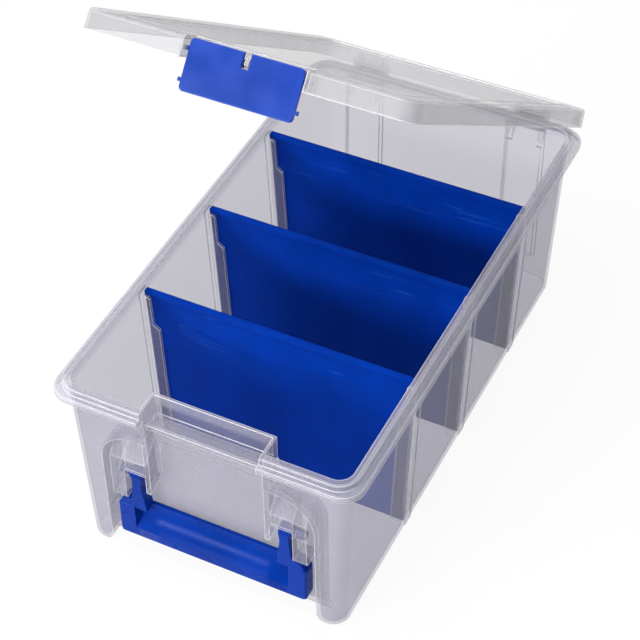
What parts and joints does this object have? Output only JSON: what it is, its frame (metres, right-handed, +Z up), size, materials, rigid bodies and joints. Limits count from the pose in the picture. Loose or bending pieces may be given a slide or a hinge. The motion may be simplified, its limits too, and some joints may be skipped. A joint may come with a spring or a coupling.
{
  "type": "tackle box",
  "caption": "Deep clear storage box with a hinged lid and front snap latch, a swinging carry handle and lift-out upright dividers.",
  "frame": {"origin": "middle of the tub's underside, on its flat base face", "axes": "+Z up, +X across the box to its right seen from the front, -Y the front with the latch and the handle, +Y the hinge side"},
  "size_m": [0.216, 0.3968, 0.381],
  "materials": {
    "clear_shell": "milky translucent, smooth",
    "clear_lid": "milky translucent, smooth",
    "latch_blue": "smooth",
    "handle_blue": "smooth",
    "divider_blue": "slightly satin"
  },
  "bodies": {
    "tub": {"tub": "clear_shell"},
    "lid": {"lid": "clear_lid"},
    "latch": {"latch": "latch_blue"},
    "handle": {"handle": "handle_blue"},
    "divider_1": {"divider_1": "divider_blue"},
    "divider_2": {"divider_2": "divider_blue"},
    "divider_3": {"divider_3": "divider_blue"}
  },
  "joints": [
    {"name": "lid_hinge", "type": "hinge", "parent": "tub", "child": "lid", "pos_m": [0, 0.1985, 0.1415], "axis": [-1, 0, 0], "range_deg": [-36.2, 73.8]},
    {"name": "latch_pivot", "type": "hinge", "parent": "lid", "child": "latch", "pos_m": [0, -0.10649, 0.37166], "axis": [-1, 0, 0], "range_deg": [-3.5, 91.5]},
    {"name": "handle_swing", "type": "hinge", "parent": "tub", "child": "handle", "pos_m": [0, -0.1775, 0.0745], "axis": [-1, 0, 0], "range_deg": [0, 90]},
    {"name": "divider_1_lift", "type": "slide", "parent": "tub", "child": "divider_1", "axis": [0, 0, 1], "range_m": [0, 0.145]},
    {"name": "divider_2_lift", "type": "slide", "parent": "tub", "child": "divider_2", "axis": [0, 0, 1], "range_m": [0, 0.145]},
    {"name": "divider_3_lift", "type": "slide", "parent": "tub", "child": "divider_3", "axis": [0, 0, 1], "range_m": [0, 0.078]}
  ]
}
